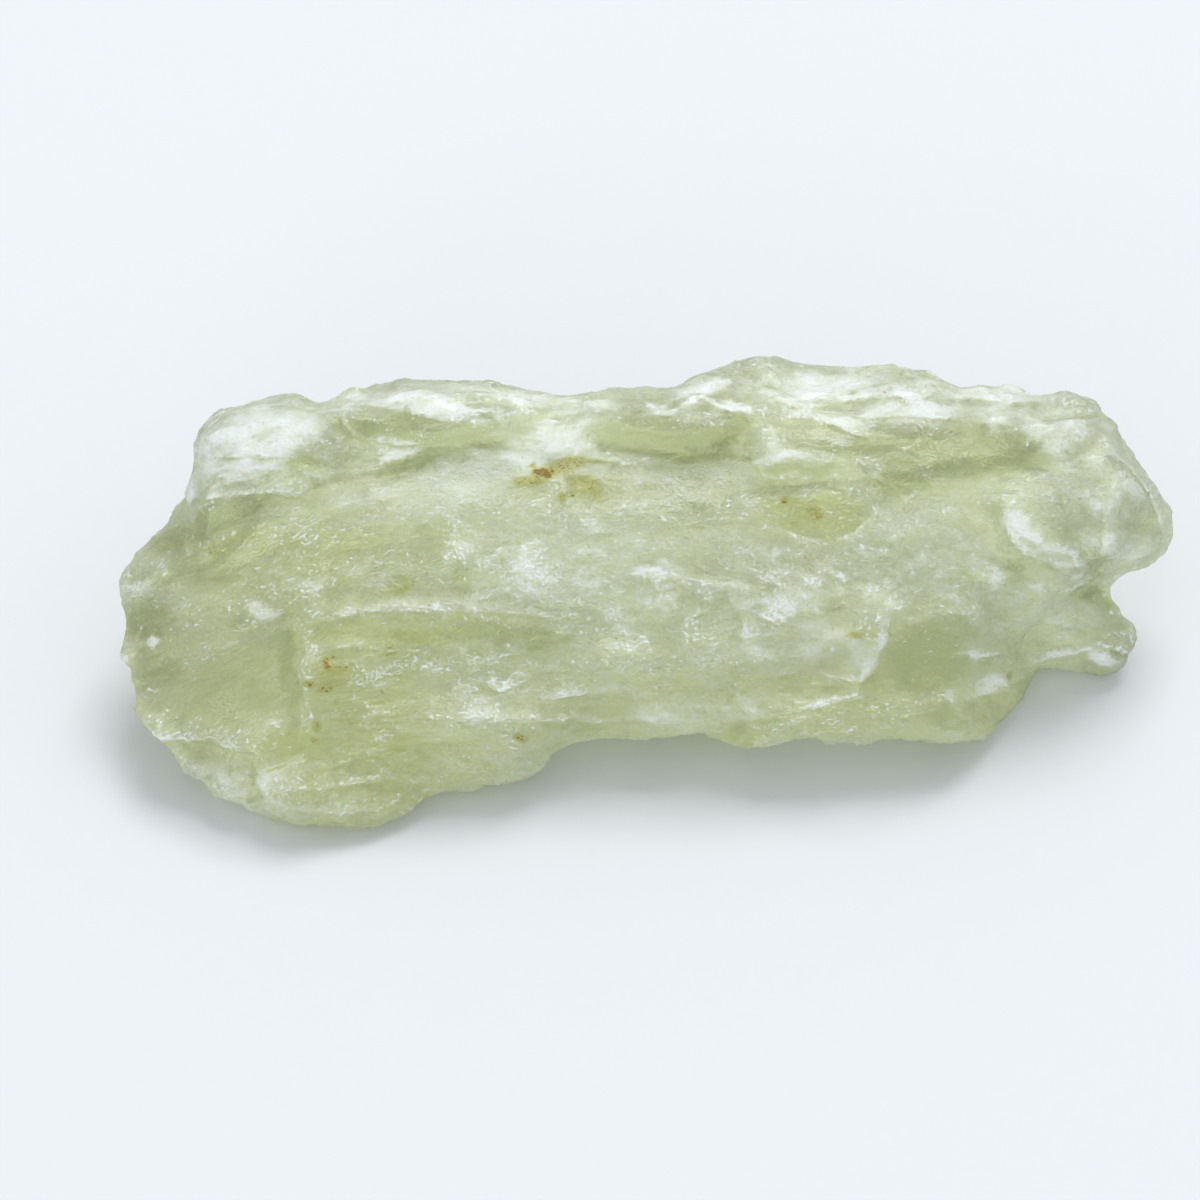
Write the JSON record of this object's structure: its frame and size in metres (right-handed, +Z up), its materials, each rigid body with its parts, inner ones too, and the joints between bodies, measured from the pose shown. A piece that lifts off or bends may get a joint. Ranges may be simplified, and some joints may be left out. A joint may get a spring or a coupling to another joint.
{
  "type": "libyan desert glass",
  "caption": "Long, wind-worn splinter of translucent pale yellow-green natural silica glass, lying on its keeled underside.",
  "frame": {"origin": "on the ground under the middle of the piece's box", "axes": "+X along the length, +Y away from the broad leaning face, +Z up from the surface it rests on"},
  "size_m": [0.0634, 0.026, 0.0178],
  "materials": {
    "desert_glass": "satin, wind-worn, translucent pale yellow-green with frosted pits"
  },
  "bodies": {
    "root": {"glass_fragment": "desert_glass"}
  },
  "joints": []
}
